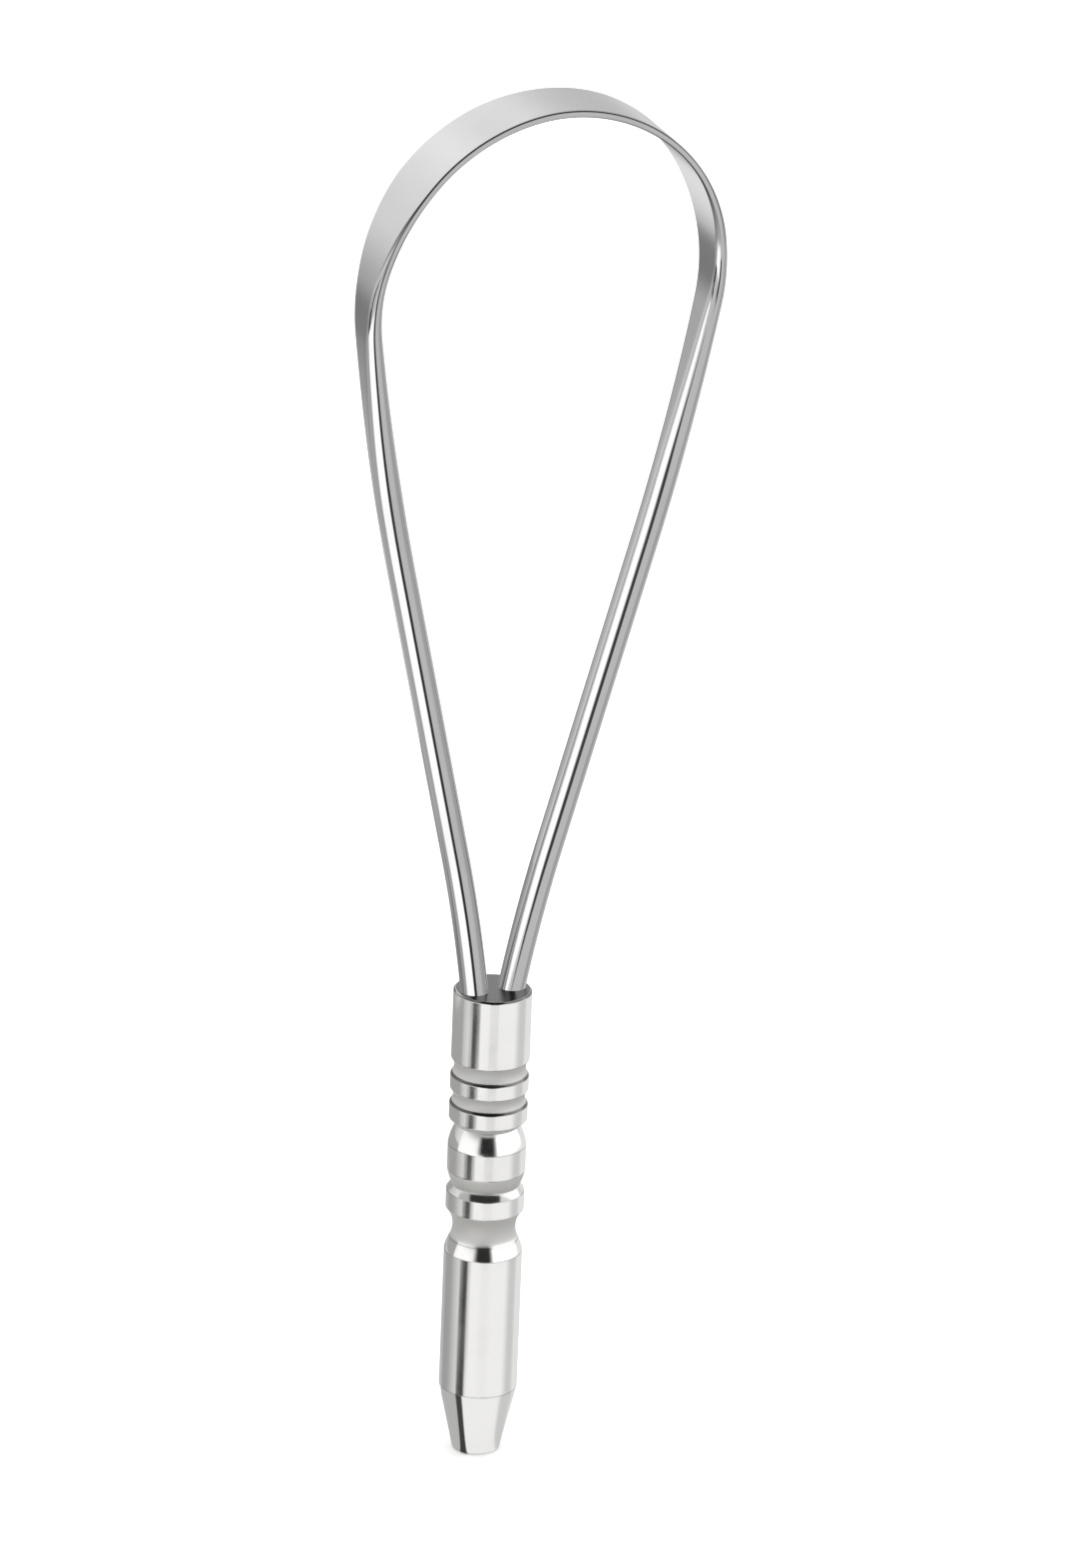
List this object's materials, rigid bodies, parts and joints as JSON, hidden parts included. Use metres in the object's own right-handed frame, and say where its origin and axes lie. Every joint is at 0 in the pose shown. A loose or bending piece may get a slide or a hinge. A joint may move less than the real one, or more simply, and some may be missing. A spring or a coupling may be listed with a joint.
{
  "type": "tongue scraper",
  "caption": "Polished steel tongue scraper: a teardrop wire loop, flattened into a thin blade across its head, brazed into a turned handle with ring grips and a tapered tip.",
  "frame": {"origin": "centre of the flat end of the handle's tapered tip", "axes": "+Z along the handle from the tip towards the loop, +X across the loop's width, -Y the side that the loop leans to"},
  "size_m": [0.0484, 0.0173, 0.1839],
  "materials": {
    "handle_steel": "turned and polished stainless steel",
    "loop_steel": "polished stainless steel wire",
    "braze": "silver braze, hidden in the bores"
  },
  "bodies": {
    "root": {"handle": "handle_steel", "scraper_loop": "loop_steel", "right_braze": "braze", "left_braze": "braze"}
  },
  "joints": []
}
